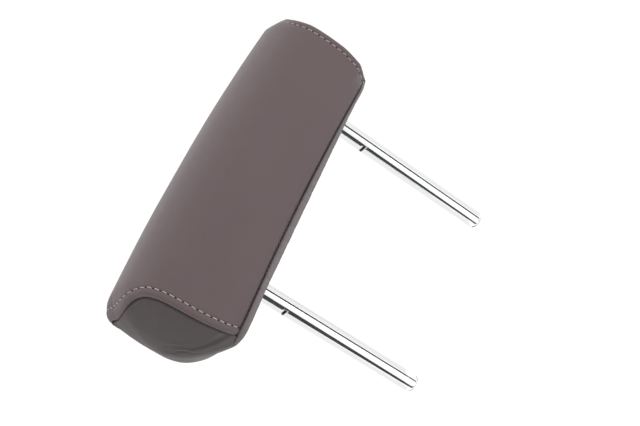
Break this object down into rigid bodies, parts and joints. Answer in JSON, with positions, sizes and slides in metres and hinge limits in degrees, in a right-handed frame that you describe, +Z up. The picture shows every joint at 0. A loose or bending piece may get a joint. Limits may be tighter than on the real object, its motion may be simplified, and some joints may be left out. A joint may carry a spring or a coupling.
{
  "type": "chair headrest attachment",
  "caption": "Leather-covered headrest pad with a rounded wedge section and stuffed ends, clamped inside on straight chromed steel posts notched below the pad.",
  "frame": {"origin": "midway between the axes of the posts, in the plane of the post tips", "axes": "+Z up along the posts into the pad, +X along the pad, -Y out of the pad's front face"},
  "size_m": [0.2916, 0.0638, 0.2244],
  "materials": {
    "leather": "fine-grained taupe upholstery leather with pale top-stitching",
    "hook_and_loop": "woven black tape",
    "foam": "cut polyurethane foam",
    "wadding": "soft polyester wadding",
    "chrome": "bright chromium plate",
    "steel": "pressed mild steel",
    "zinc": "zinc plated",
    "black_plastic": "moulded black plastic"
  },
  "bodies": {
    "root": {"armature_plate": "steel", "bolt_left_inner": "zinc", "bolt_left_outer": "zinc", "bolt_right_inner": "zinc", "bolt_right_outer": "zinc", "bottom_panel": "leather", "cover_wrap": "leather", "end_pad_left": "wadding", "end_pad_right": "wadding", "eyelet_left": "black_plastic", "eyelet_right": "black_plastic", "foam_front": "foam", "foam_rear": "foam", "gusset_left": "leather", "gusset_right": "leather", "hook_strip": "hook_and_loop", "loop_strip": "hook_and_loop", "nut_left_inner": "zinc", "nut_left_outer": "zinc", "nut_right_inner": "zinc", "nut_right_outer": "zinc", "post_left": "chrome", "post_right": "chrome", "saddle_left": "steel", "saddle_right": "steel", "washer_left_inner": "zinc", "washer_left_outer": "zinc", "washer_right_inner": "zinc", "washer_right_outer": "zinc", "welt_front": "leather"}
  },
  "joints": []
}
